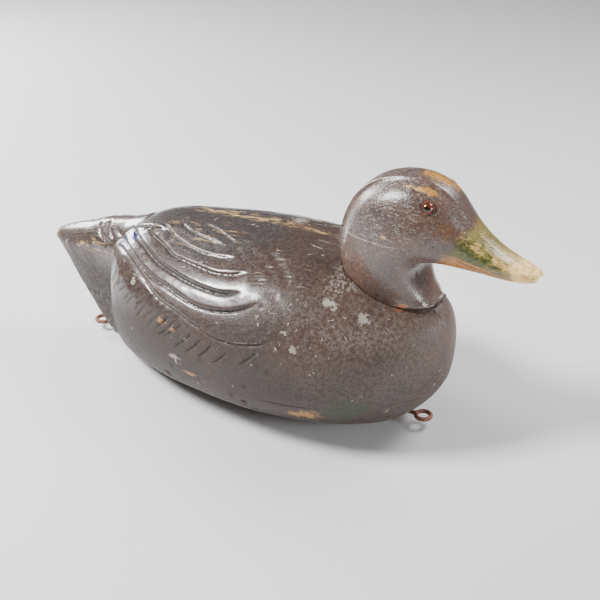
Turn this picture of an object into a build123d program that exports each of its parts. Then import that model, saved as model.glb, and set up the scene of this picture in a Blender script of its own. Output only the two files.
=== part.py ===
from build123d import *
from math import copysign, cos, pi, radians, sin
import os

# Floating duck decoy: a hollow wooden body in two halves, a carved wooden head, glass eyes,
# lead ballast let into the bottom, and two screw eyes for the anchor line.
# Millimetres. +X points to the bill, +Y to the duck's left, +Z up. The origin is on the
# surface the decoy rests on, midway between the tail tip and the bill tip.

# ---- driving dimensions ----------------------------------------------------------
tail_tip_x = -196.0
bill_tip_x = 196.0
seam_z = 38.0  # joint between the two body halves
shelf_z = 103.5  # flat seat that the neck stands on
wall = 16.0  # wood left around the hollow
oval_points = 11  # points on half of an oval section

stern_x = -150.0  # the flanks' rear edge, where it meets the floor
stern_lean = 0.26  # how far that edge runs forward per mm of height
lean_end_x = -60.0  # sections from here forward stand upright

# Body stations: x at the floor, half width, top z, bottom z, z of the greatest width,
# roundness above and below it (2 is an ellipse, more is squarer, 1 is a straight V).
body_stations = [
    (stern_x, 24, 99, -14, 92, 2.0, 1.05),
    (-144.5, 30, 104, -13, 88, 2.0, 1.12),
    (-136.0, 39, 110, -12, 81, 2.05, 1.3),
    (-121.0, 51, 115.5, -10, 72, 2.1, 1.6),
    (-98.0, 61.5, 119.5, -8, 65, 2.15, 1.85),
    (-66.0, 70.5, 121.5, -8, 60, 2.2, 2.0),
    (-28.0, 77.5, 124.5, -8, 57, 2.35, 2.0),
    (8.0, 80.5, 125.5, -7, 55, 2.45, 2.0),
    (42.0, 79, 124, -4, 56, 2.45, 2.0),
    (74.0, 70.5, 116.5, -1, 59, 2.3, 2.0),
    (100.0, 56, 109, 5.5, 62, 2.15, 2.0),
    (118.0, 40, 105, 18, 65, 2.1, 2.0),
    (130.0, 24.5, 100, 33, 68, 2.0, 2.0),
    (136.0, 12.5, 90, 48, 70, 2.0, 2.0),
    (138.0, 4, 79, 62, 71, 2.0, 2.0),
]

# The hollow is the same row of sections, one wall in, between these two stations. It ends
# short of the neck's seat, which is cut deeper than the wall.
hollow_from, hollow_to = 3, 8
hollow_end_shift = 8.0

# The block that trims the body flat and parts it at the seam.
trim_length, trim_width, trim_height = 600.0, 300.0, 200.0

# Tail stations: x, half width of the tail plate, half width of the rump under it,
# top z, z of the plate's lower edge, bottom z of the rump.
tail_stations = [
    (tail_tip_x, 5, 3, 82, 77, 75),
    (-188.0, 10, 4, 86, 77, 63),
    (-176.0, 15, 4.5, 91, 76, 43),
    (-161.5, 17, 5, 96, 77, 21),
    (-150.0, 18, 5, 101, 80, 5),
    (-124.0, 23, 6, 107.5, 86, 5),
    (-108.0, 26, 8, 113.5, 92, 5),
]

# Head stations: tilt of the section plane in degrees (0 lies flat, 90 stands across the
# bill), centre x and z, reach towards the crown, reach towards the throat, half width.
head_stations = [
    (0, 95.5, shelf_z, 37.0, 33.5, 23.0),
    (6, 94.0, 110, 37.0, 32.0, 25.0),
    (15, 92.0, 120, 38.5, 30.0, 28.0),
    (36, 95.8, 133, 45.0, 27.0, 30.5),
    (62, 101.8, 146, 46.5, 21.0, 31.0),
    (85, 113.8, 156, 39.0, 22.0, 29.5),
    (97, 128.8, 156, 31.0, 20.0, 24.5),
    (100, 142.8, 152, 19.5, 17.0, 18.5),
    (100, 157.8, 147, 11.5, 12.5, 15.0),
    (100, 173.8, 142.5, 7.5, 8.5, 13.0),
    (100, 187.5, 140.5, 5.0, 6.0, 11.0),
    (100, bill_tip_x - 0.6, 140.0, 2.5, 3.0, 6.0),
]
head_roundness = 2.15

# Glass eyes: each sits in a blind socket whose axis points out of the cheek.
eye_x, eye_y, eye_z = 123.2, 20.6, 181.3
eye_toe_in = 23.0  # degrees that the eye looks forwards
eye_rise = 30.0  # degrees that it looks upwards
eye_radius = 3.5
eye_bulge = 1.8  # height of the clear dome
eye_base = 1.0  # thickness of the glass below the dome
iris_thickness = 0.6
pupil_radius = 1.7
putty_radius, putty_rise = 4.3, 0.5
eye_wire_radius, eye_wire_length = 0.6, 12.0
eye_socket_reach = 8.0  # how far the socket's cutter runs out of the cheek

# Screw eyes for the anchor line: a ring of wire on a threaded shank that lies level.
line_wire_radius = 1.6
line_ring_radius = 5.3  # to the middle of the wire
line_eye_z = 8.0
front_eye_x, rear_eye_x = 120.0, -160.5
line_shank_length = 34.0  # from the ring's centre
line_plain_length = 13.6  # of the shank, before its thread
line_point_length = 4.0
thread_pitch, thread_depth = 2.5, 0.35
thread_start, thread_flank, thread_run_out = 1.5, 0.5, 2.0
turning_gap = 0.05  # between the shank and its bore, all round and at its end

# Neck joint: a dowel glued into the head and the body, and toe nails.
dowel_x, dowel_radius = 95.0, 6.0
dowel_below, dowel_above = 22.0, 30.0
neck_nail_length = 30.0
neck_nail_recess = 6.0  # cutter above the nail's head, out through the neck
# x, y and z of the nail's head, and its run forwards, inwards and down
neck_nail_points = [
    (106.0, 22.4, 108.5, (-0.05, 0.45, 0.89)),
    (121.0, 15.4, 108.5, (-0.35, 0.25, 0.90)),
]

# Ballast: a lead bar let into the bottom and held by two screws.
ballast_length, ballast_width, ballast_depth = 118.0, 24.0, 7.0
ballast_recess = 0.3  # how far the bar stays above the resting surface
ballast_screw_x = (-42.0, 42.0)
ballast_screw_length, ballast_screw_radius, ballast_screw_head = 13.5, 1.9, 3.8
ballast_screw_point = 3.0
slot_width, slot_depth = 0.9, 0.8
ballast_corner = 11.5

# Nails that hold the two body halves, driven from below: x, y and z of the head.
body_nail_length = 34.0
body_nail_points = [
    (-116.0, 10.0, 1.5),
    (-55.0, 62.0, 26.5),
    (15.0, 72.0, 29.0),
    (104.0, 16.0, 10.5),
]
body_nail_recess = 30.0  # cutter below the nail's head, out through the bottom
nail_radius, nail_head_radius, nail_head_thickness = 1.2, 2.2, 0.9
nail_point = 3.5
tip_radius = 0.2  # of every nail, screw and shank
overlap = 0.1


# ---- helpers ---------------------------------------------------------------------
def rising(shape_class, *sizes):
    """A round solid standing on the origin."""
    return shape_class(*sizes, align=(Align.CENTER, Align.CENTER, Align.MIN))


def pointed_along(direction, at):
    """A place whose +Z runs along direction."""
    return Location(Plane(origin=at, z_dir=direction))


def trim_block(z):
    """Everything above a height."""
    return Pos(0, 0, z) * rising(Box, trim_length, trim_width, trim_height)


def oval_section(to_space, half_width, up, down, power_up, power_down):
    """A closed outline of two mirrored curves, each running from its top to its foot."""
    half = []
    for i in range(oval_points):
        angle = pi / 2 - pi * i / (oval_points - 1)
        power = power_up if angle >= 0 else power_down
        reach = up if angle >= 0 else down
        side = half_width * abs(cos(angle)) ** (2 / power)
        rise = reach * copysign(abs(sin(angle)) ** (2 / power), angle)
        half.append((side, rise))
    half[0] = (0.0, up)
    half[-1] = (0.0, -down)
    right = Edge.make_spline([to_space(s, r) for s, r in half], tangents=[(0, 1, 0), (0, -1, 0)])
    left = Edge.make_spline(
        [to_space(-s, r) for s, r in reversed(half)], tangents=[(0, -1, 0), (0, 1, 0)]
    )
    return Wire([right, left])


def filled_in(stations):
    """The stations with one more between each pair, on a smooth curve through all of them."""
    first = [2 * a - b for a, b in zip(stations[0], stations[1])]
    last = [2 * a - b for a, b in zip(stations[-1], stations[-2])]
    row = [first, *stations, last]
    filled = [stations[0]]
    for a, b, c, d in zip(row, row[1:], row[2:], row[3:]):
        filled.append(tuple((9 * (q + r) - p - s) / 16 for p, q, r, s in zip(a, b, c, d)))
        filled.append(tuple(c))
    return filled


# ---- wooden body -----------------------------------------------------------------
def body_section(station, inset=0.0, shift=0.0):
    """One section of the body, drawn in by inset all round and moved along X by shift."""
    x, half, top, bottom, widest, power_up, power_down = station
    lean = max(0.0, stern_lean * (lean_end_x - x) / (lean_end_x - stern_x))

    def to_space(side, rise):
        z = widest + rise
        return Vector(x + shift + lean * z, side, z)

    low = max(bottom, 0.0) if inset else bottom
    return oval_section(
        to_space, half - inset, top - inset - widest, widest - low - inset, power_up, power_down
    )


def body_hull():
    """The body's outside, cut flat where it rests."""
    hull = Solid.make_loft([body_section(station) for station in filled_in(body_stations)])
    return hull - trim_block(-trim_height)


def hollow():
    """The space inside the body, short of the wood that carries the tail and the neck."""
    stations = body_stations[hollow_from : hollow_to + 1]
    shifts = [0.0] * len(stations)
    shifts[0] = hollow_end_shift
    return Solid.make_loft([body_section(s, wall, d) for s, d in zip(stations, shifts)])


def tail_loft():
    """The tail: a flat plate on a narrow rump that slopes down to the stern."""
    rings = []
    for x, half, rump, top, edge, bottom in tail_stations:
        arc = ThreePointArc((x, -half, edge), (x, 0, top), (x, half, edge))
        foot = Polyline((x, half, edge), (x, rump, bottom), (x, -rump, bottom), (x, -half, edge))
        rings.append(Wire([*arc.edges(), *foot.edges()]))
    return Solid.make_loft(rings, ruled=True)


# ---- head ------------------------------------------------------------------------
def head_loft():
    """The head: sections fan round the throat, then run out along the bill."""
    rings = []
    for tilt, x, z, up, down, half in head_stations:

        def to_space(side, rise, tilt=radians(tilt), x=x, z=z):
            return Vector(x - rise * cos(tilt), side, z + rise * sin(tilt))

        rings.append(oval_section(to_space, half, up, down, head_roundness, head_roundness))
    return Solid.make_loft(rings)


# ---- fasteners -------------------------------------------------------------------
def nail(length):
    """A nail with its head on the origin and its point up."""
    head = rising(Cylinder, nail_head_radius, nail_head_thickness)
    shaft = rising(Cylinder, nail_radius, length - nail_point)
    point = Pos(0, 0, length - nail_point) * rising(Cone, nail_radius, tip_radius, nail_point)
    return head + shaft + point


def nail_bore(length, recess):
    """The nail's own shape and the round recess below its head."""
    return nail(length) + Pos(0, 0, -recess) * rising(Cylinder, nail_head_radius, recess + overlap)


def body_nail_places():
    """Upright nails from below, in the wood around the hollow."""
    for x, y, z in body_nail_points:
        for side in (-1, 1):
            yield Pos(x, side * y, z)


def neck_nail_places():
    """Toe nails from the sides of the neck, slanting down into the body."""
    for x, y, z, (forward, inward, down) in neck_nail_points:
        for side in (-1, 1):
            yield pointed_along((forward, -side * inward, -down), (x, side * y, z))


def ballast_screw():
    """A flat-headed wood screw, head down, with its slot cut across the head."""
    radius, head = ballast_screw_radius, ballast_screw_head
    cone = rising(Cone, head, radius, head - radius)
    shaft_length = ballast_screw_length - ballast_screw_point
    shaft = rising(Cylinder, radius, shaft_length)
    point = Pos(0, 0, shaft_length) * rising(Cone, radius, tip_radius, ballast_screw_point)
    return cone + shaft + point


def screw_slot():
    return Box(3 * ballast_screw_head, slot_width, 2 * slot_depth)


def ballast_bar():
    """The lead bar with round ends, standing a little above the resting surface."""
    bar = rising(Box, ballast_length, ballast_width, ballast_depth)
    bar = fillet(bar.edges().filter_by(Axis.Z), ballast_corner)
    return Pos(0, 0, ballast_recess) * bar


# ---- screw eyes ------------------------------------------------------------------
def line_eye(x, shank_way):
    """A ring of wire lying level, with a threaded shank that runs along X into the wood."""
    ring = Torus(line_ring_radius, line_wire_radius)
    core = line_wire_radius - thread_depth
    threaded = line_shank_length - line_plain_length - line_point_length
    neck_length = line_plain_length - line_ring_radius
    neck = Pos(0, 0, line_ring_radius) * rising(Cylinder, line_wire_radius, neck_length)
    shaft = Pos(0, 0, line_plain_length) * rising(Cylinder, core, threaded)
    point = rising(Cone, core, tip_radius, line_point_length)
    point = Pos(0, 0, line_shank_length - line_point_length) * point
    shank = neck + shaft + point
    for i in range(int((threaded - thread_run_out) / thread_pitch)):
        z = line_plain_length + thread_start + i * thread_pitch
        lower = Pos(0, 0, z) * rising(Cone, core, line_wire_radius, thread_flank)
        upper = Pos(0, 0, z + thread_flank) * rising(Cone, line_wire_radius, core, thread_flank)
        shank += lower + upper
    shank = Rot(0, 90 * shank_way, 0) * shank
    return Pos(x, 0, line_eye_z) * (ring + shank)


def line_eye_bore(x, shank_way):
    bore = rising(Cylinder, line_wire_radius + turning_gap, line_shank_length + turning_gap)
    return Pos(x, 0, line_eye_z) * (Rot(0, 90 * shank_way, 0) * bore)


# ---- eyes ------------------------------------------------------------------------
def eye_place(side):
    """The eye's seat, with +Z looking out of the cheek. side is -1 on the duck's right."""
    toe, rise = radians(eye_toe_in), radians(eye_rise)
    look = (sin(toe) * cos(rise), side * cos(toe) * cos(rise), sin(rise))
    return pointed_along(look, (eye_x, side * eye_y, eye_z))


def eye_glass():
    """A clear dome on a short round base."""
    sphere_radius = (eye_radius**2 + eye_bulge**2) / (2 * eye_bulge)
    dome = Pos(0, 0, eye_bulge - sphere_radius) * Sphere(sphere_radius)
    dome = dome & rising(Cylinder, eye_radius, eye_bulge + overlap)
    return dome + Pos(0, 0, -eye_base) * rising(Cylinder, eye_radius, eye_base)


def eye_iris():
    disc = rising(Cylinder, eye_radius, iris_thickness)
    disc -= rising(Cylinder, pupil_radius, iris_thickness)
    return Pos(0, 0, -eye_base - iris_thickness) * disc


def eye_pupil():
    return Pos(0, 0, -eye_base - iris_thickness) * rising(Cylinder, pupil_radius, iris_thickness)


def eye_putty():
    """A collar of putty that beds the glass in its socket."""
    deep = eye_base + iris_thickness
    collar = rising(Cylinder, putty_radius, deep + putty_rise)
    collar -= rising(Cylinder, eye_radius, deep + putty_rise)
    return Pos(0, 0, -deep) * collar


def eye_wire():
    return Pos(0, 0, -eye_base - iris_thickness - eye_wire_length) * rising(
        Cylinder, eye_wire_radius, eye_wire_length
    )


def eye_socket():
    deep = eye_base + iris_thickness
    return Pos(0, 0, -deep) * rising(Cylinder, putty_radius, deep + eye_socket_reach) + eye_wire()


# ---- assembly --------------------------------------------------------------------
def build():
    nodes = {}
    body_nails = [place * nail(body_nail_length) for place in body_nail_places()]
    neck_nails = [place * nail(neck_nail_length) for place in neck_nail_places()]
    dowel = Pos(dowel_x, 0, shelf_z - dowel_below) * rising(Cylinder, dowel_radius, dowel_below + dowel_above)
    bar = ballast_bar()
    screws = [Pos(x, 0, ballast_recess) * ballast_screw() for x in ballast_screw_x]

    head = head_loft()
    body = body_hull() + tail_loft() - head - hollow()
    for place in body_nail_places():
        body -= place * nail_bore(body_nail_length, body_nail_recess)
    body = body - bar - Pos(0, 0, -ballast_recess) * bar
    for tool in [*neck_nails, dowel, *screws]:
        body -= tool
    body = body - line_eye_bore(front_eye_x, -1) - line_eye_bore(rear_eye_x, 1)
    above = trim_block(seam_z)
    nodes["body_upper"] = body & above
    nodes["body_lower"] = body - above

    for place in neck_nail_places():
        head -= place * nail_bore(neck_nail_length, neck_nail_recess)
    head -= dowel
    for side, name in ((-1, "right"), (1, "left")):
        place = eye_place(side)
        head -= place * eye_socket()
        nodes["eye_glass_" + name] = place * eye_glass()
        nodes["eye_iris_" + name] = place * eye_iris()
        nodes["eye_pupil_" + name] = place * eye_pupil()
        nodes["eye_putty_" + name] = place * eye_putty()
        nodes["eye_wire_" + name] = place * eye_wire()
    nodes["head"] = head

    nodes["neck_dowel"] = dowel
    nodes["neck_nails"] = Compound(children=neck_nails)
    nodes["body_nails"] = Compound(children=body_nails)
    for screw in screws:
        bar -= screw
    nodes["ballast_weight"] = bar
    slotted = [s - Pos(x, 0, ballast_recess) * screw_slot() for s, x in zip(screws, ballast_screw_x)]
    nodes["ballast_screws"] = Compound(children=slotted)
    nodes["line_eye_front"] = line_eye(front_eye_x, -1)
    nodes["line_eye_rear"] = line_eye(rear_eye_x, 1)
    return nodes


os.makedirs("parts", exist_ok=True)
for name, shape in build().items():
    export_step(shape, f"parts/{name}.step")
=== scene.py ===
import math
import random

import bpy
import numpy as np
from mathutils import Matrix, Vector, noise
from mathutils.bvhtree import BVHTree
from mathutils.kdtree import KDTree


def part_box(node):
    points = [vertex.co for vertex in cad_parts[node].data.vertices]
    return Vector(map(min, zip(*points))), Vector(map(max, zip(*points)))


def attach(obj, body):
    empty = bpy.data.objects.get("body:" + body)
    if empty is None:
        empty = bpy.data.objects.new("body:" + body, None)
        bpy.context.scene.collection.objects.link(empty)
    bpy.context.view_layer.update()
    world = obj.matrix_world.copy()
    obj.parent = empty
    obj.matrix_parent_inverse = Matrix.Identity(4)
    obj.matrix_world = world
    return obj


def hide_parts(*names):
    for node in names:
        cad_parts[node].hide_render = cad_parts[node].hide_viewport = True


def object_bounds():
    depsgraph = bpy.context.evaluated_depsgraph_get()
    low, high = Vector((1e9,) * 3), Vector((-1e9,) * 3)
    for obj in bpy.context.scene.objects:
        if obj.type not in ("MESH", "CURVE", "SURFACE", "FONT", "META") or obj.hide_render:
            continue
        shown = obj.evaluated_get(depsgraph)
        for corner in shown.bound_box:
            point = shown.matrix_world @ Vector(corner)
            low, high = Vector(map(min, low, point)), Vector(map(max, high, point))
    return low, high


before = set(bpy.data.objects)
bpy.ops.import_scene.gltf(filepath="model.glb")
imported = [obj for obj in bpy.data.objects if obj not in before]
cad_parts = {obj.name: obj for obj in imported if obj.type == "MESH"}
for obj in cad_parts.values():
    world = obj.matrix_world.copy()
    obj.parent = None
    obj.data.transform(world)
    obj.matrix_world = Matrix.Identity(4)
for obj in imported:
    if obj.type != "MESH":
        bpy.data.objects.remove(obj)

cadLow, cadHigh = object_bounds()
mm = 0.001
print("frame loaded, CAD box", [round(v, 4) for v in (*cadLow, *cadHigh)])


# picking and finishing pieces

skin = {
    "merge": 0.01 * mm,
    "rub": 0.5,  # how hard each round of smoothing rubs
    "softening": 3,  # rounds over the whole piece
    "calming": 320,  # rounds over the places that are rubbed smooth
}


def pickNothing():
    if bpy.context.object and bpy.context.object.mode != "OBJECT":
        bpy.ops.object.mode_set(mode="OBJECT")
    bpy.ops.object.select_all(action="DESELECT")


def pick(piece):
    pickNothing()
    piece.select_set(True)
    bpy.context.view_layer.objects.active = piece


def applyModifiers(piece):
    pick(piece)
    for modifier in list(piece.modifiers):
        bpy.ops.object.modifier_apply(modifier=modifier.name)


def seatPlace(piece):
    # the place goes into the mesh, as on a CAD node
    pick(piece)
    bpy.ops.object.transform_apply(location=True, rotation=True, scale=True)


def copyOfNodes(name, *nodes):
    pickNothing()
    for node in nodes:
        copied = bpy.data.objects.new(name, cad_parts[node].data.copy())
        bpy.context.scene.collection.objects.link(copied)
        copied.select_set(True)
        bpy.context.view_layer.objects.active = copied
    if len(nodes) > 1:
        bpy.ops.object.join()
    piece = bpy.context.object
    piece.name = name
    piece.data.materials.clear()
    bpy.ops.object.mode_set(mode="EDIT")
    bpy.ops.mesh.select_all(action="SELECT")
    bpy.ops.mesh.remove_doubles(threshold=skin["merge"])
    bpy.ops.object.mode_set(mode="OBJECT")
    return piece


def evenSkin(piece, voxel, calm=None):
    # one closed skin of small even faces, ready to be carved; calm gives the places to rub smooth
    remesh = piece.modifiers.new("even skin", "REMESH")
    remesh.mode = "VOXEL"
    remesh.voxel_size = voxel
    remesh.use_smooth_shade = True
    soft = piece.modifiers.new("softened", "SMOOTH")
    soft.factor = skin["rub"]
    soft.iterations = skin["softening"]
    applyModifiers(piece)
    keepBiggestShell(piece)
    if calm:
        weights = calm(np.array([v.co for v in piece.data.vertices]))
        group = piece.vertex_groups.new(name="calm")
        for i in np.where(weights > 0)[0]:
            group.add([int(i)], float(weights[i]), "REPLACE")
        soft = piece.modifiers.new("calmed", "SMOOTH")
        soft.factor = skin["rub"]
        soft.iterations = skin["calming"]
        soft.vertex_group = "calm"
        applyModifiers(piece)
        piece.vertex_groups.clear()


def keepBiggestShell(piece):
    # the hollow's own skin is dropped, the outside stays
    mesh = piece.data
    edges = np.zeros(len(mesh.edges) * 2, np.int32)
    mesh.edges.foreach_get("vertices", edges)
    edges = edges.reshape(-1, 2)
    label = np.arange(len(mesh.vertices))
    while True:
        low = np.minimum(label[edges[:, 0]], label[edges[:, 1]])
        before = label.copy()
        np.minimum.at(label, edges[:, 0], low)
        np.minimum.at(label, edges[:, 1], low)
        label = label[label]
        if (label == before).all():
            break
    shells, counts = np.unique(label, return_counts=True)
    drop = label != shells[counts.argmax()]
    if drop.any():
        pick(piece)
        bpy.ops.object.mode_set(mode="EDIT")
        bpy.ops.mesh.select_all(action="DESELECT")
        bpy.ops.object.mode_set(mode="OBJECT")
        mesh.vertices.foreach_set("select", drop)
        bpy.ops.object.mode_set(mode="EDIT")
        bpy.ops.mesh.delete(type="VERT")
        bpy.ops.object.mode_set(mode="OBJECT")


# carving: what the knife takes off is added up for every vertex, then moved in one go

def smoothStep(value):
    value = np.clip(value, 0, 1)
    return value * value * (3 - 2 * value)


def awayFromNode(places, node, reach):
    # the places within reach of a CAD node's box, and how far each is from its surface
    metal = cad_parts[node].data
    tree = BVHTree.FromPolygons([v.co for v in metal.vertices], [f.vertices for f in metal.polygons])
    low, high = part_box(node)
    near = np.where(((places > np.array(low) - reach) & (places < np.array(high) + reach)).all(1))[0]
    return near, np.array([tree.find_nearest(Vector(places[i]))[3] for i in near])


stroke = {
    "spacing": 1.0 * mm,
    "fineSpacing": 0.8 * mm,
    "steps": 12,  # points worked out between two given ones
    "aimFrom": 0.2,  # metres outside the wood
    "slopeReach": 14 * mm,
    "slopeFall": 6 * mm,
    "deepest": 6 * mm,  # wood further in than this is another face
    # the painted shade in a cut grows with its depth, full at this depth
    "fullShadeAt": 1.5 * mm,  # a cut this deep is dark all through
    "lipAt": 2.4, "lipWidth": 1.7,  # in widths of the cut
    "rubAt": 1.3, "rubWidth": 0.9,
    "fade": 0.12,  # share of the line over which it dies out at each end
}


class Carving:
    def __init__(self, piece, axisHeight):
        self.piece = piece
        mesh = piece.data
        count = len(mesh.vertices)
        co = np.zeros(count * 3)
        mesh.vertices.foreach_get("co", co)
        self.place = co.reshape(-1, 3)
        normals = np.zeros(count * 3)
        mesh.vertices.foreach_get("normal", normals)
        self.normal = normals.reshape(-1, 3)
        self.oneSide = self.place.copy()  # every point as if on the right, so lines come out on both sides
        self.oneSide[:, 1] = -abs(self.oneSide[:, 1])
        self.axisHeight = axisHeight
        self.lift = np.zeros(count)
        # painted shade: how dark each point is painted down in cuts, pits, grooves and torn wood, and the
        # dark line of the seam and the crack; it also roughens the paint
        self.cut = np.zeros(count)
        self.worn = np.zeros(count)
        self.surface = BVHTree.FromPolygons(
            [v.co for v in mesh.vertices], [p.vertices for p in mesh.polygons])

    def grain(self, scale, seed, stretch=(1, 1, 1)):
        places = self.place * (np.array(stretch) * scale) + seed * 7.31
        return np.array([noise.noise(p) for p in places])

    def onWood(self, points):
        # a smooth curve through given points (mm along, degrees from the top), dropped on the wood
        ends = [points[0], *points, points[-1]]
        found = []
        for a, b, c, d in zip(ends, ends[1:], ends[2:], ends[3:]):
            for step in range(stroke["steps"]):
                t = step / stroke["steps"]
                x, turn = (0.5 * (2 * b[k] + (c[k] - a[k]) * t
                                  + (2 * a[k] - 5 * b[k] + 4 * c[k] - d[k]) * t * t
                                  + (3 * b[k] - a[k] - 3 * c[k] + d[k]) * t ** 3) for k in (0, 1))
                aim = Vector((0, -math.sin(math.radians(turn)), math.cos(math.radians(turn))))
                outside = Vector((x * mm, 0, self.axisHeight)) + aim * stroke["aimFrom"]
                spot = self.surface.ray_cast(outside, -aim)[0]
                if spot:
                    found.append(spot)
        return self.evened(found, stroke["spacing"])

    def evened(self, spots, spacing):
        line = np.array([tuple(s) for s in spots])
        run = np.concatenate([[0], np.cumsum(np.linalg.norm(np.diff(line, axis=0), axis=1))])
        count = max(4, int(run[-1] / spacing))
        at = np.linspace(0, run[-1], count)
        return np.stack([np.interp(at, run, line[:, k]) for k in range(3)], -1)

    def line(self, path, depth, width, slope=0.0, lip=0.0, wear=0.0, fade=stroke["fade"]):
        # a knife line on both sides: depth and width of the cut, the slope that falls to it from
        # outside, the lip left standing inside, and how much the lip is rubbed
        reach = stroke["slopeReach"] if slope else 3.5 * width + 2 * mm
        places = self.oneSide
        near = np.where(((places > path.min(0) - reach) & (places < path.max(0) + reach)).all(1))[0]
        tree = KDTree(len(path))
        for i, spot in enumerate(path):
            tree.insert(spot, i)
        tree.balance()
        nearest = np.array([tree.find(places[i])[1] for i in near])
        along = np.gradient(path, axis=0)
        along /= np.linalg.norm(along, axis=1)[:, None]
        outward = np.array([tuple(self.surface.find_nearest(Vector(p))[1]) for p in path])
        side = np.cross(outward, along)
        side /= np.linalg.norm(side, axis=1)[:, None] + 1e-9
        side *= np.where(side[:, 2] > 0, -1, 1)[:, None]  # always points down, to the outside of the feather
        away = places[near] - path[nearest]
        across = (away * side[nearest]).sum(1)
        inDepth = abs((away * outward[nearest]).sum(1))
        t = nearest / (len(path) - 1)
        strength = smoothStep(np.minimum(t, 1 - t) / fade) * (inDepth < stroke["deepest"])
        strength = strength * (np.linalg.norm(away, axis=1) < reach)
        groove = np.exp(-(across / width) ** 2) * strength
        self.lift[near] -= depth * groove
        if slope:
            fall = np.where(across > 0, np.exp(-across / stroke["slopeFall"]), 0) * strength
            self.lift[near] -= slope * fall
        if lip:
            ridge = np.exp(-((across + stroke["lipAt"] * width) / (stroke["lipWidth"] * width)) ** 2)
            self.lift[near] += lip * ridge * strength
        # painted shade down in the groove, full where the cut is deep
        self.cut[near] = np.maximum(self.cut[near], groove * min(1, depth / stroke["fullShadeAt"]))
        rub = np.exp(-((across + stroke["rubAt"] * width) / (stroke["rubWidth"] * width)) ** 2) * strength
        self.worn[near] = np.maximum(self.worn[near], rub * wear)

    def nicks(self, count, seed, sizes, depth, low, high):
        # small knocks at random places within the box from low to high
        rng = random.Random(seed)
        inside = np.where(((self.place > low) & (self.place < high)).all(1))[0]
        for _ in range(count):
            middle = self.place[inside[rng.randrange(len(inside))]]
            size = rng.uniform(*sizes)
            squash = (rng.uniform(0.5, 1), 1, rng.uniform(0.6, 1))
            away = np.linalg.norm((self.place - middle) * squash, axis=1)
            pit = np.clip(1 - away / size, 0, 1) ** 0.7
            self.lift -= pit * rng.uniform(0.4, 1) * depth
            # the knocks are painted darker, as shade in the pits
            self.cut = np.maximum(self.cut, pit * 0.6)

    def backFrom(self, node, reach, depth):
        # the wood lies a little lower where a metal piece comes out of it, and is painted darker round it
        near, away = awayFromNode(self.place, node, reach)
        close = smoothStep(1.5 * (1 - away / reach))
        self.lift[near] -= depth * close
        self.cut[near] = np.maximum(self.cut[near], 0.6 * close)

    def finish(self):
        mesh = self.piece.data
        self.place += self.normal * self.lift[:, None]
        mesh.vertices.foreach_set("co", self.place.ravel())
        for name, values in (("cut", self.cut), ("worn", self.worn)):
            held = mesh.attributes.new(name, "FLOAT", "POINT")
            held.data.foreach_set("value", values.astype(np.float32))
        mesh.update()


# the body

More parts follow.
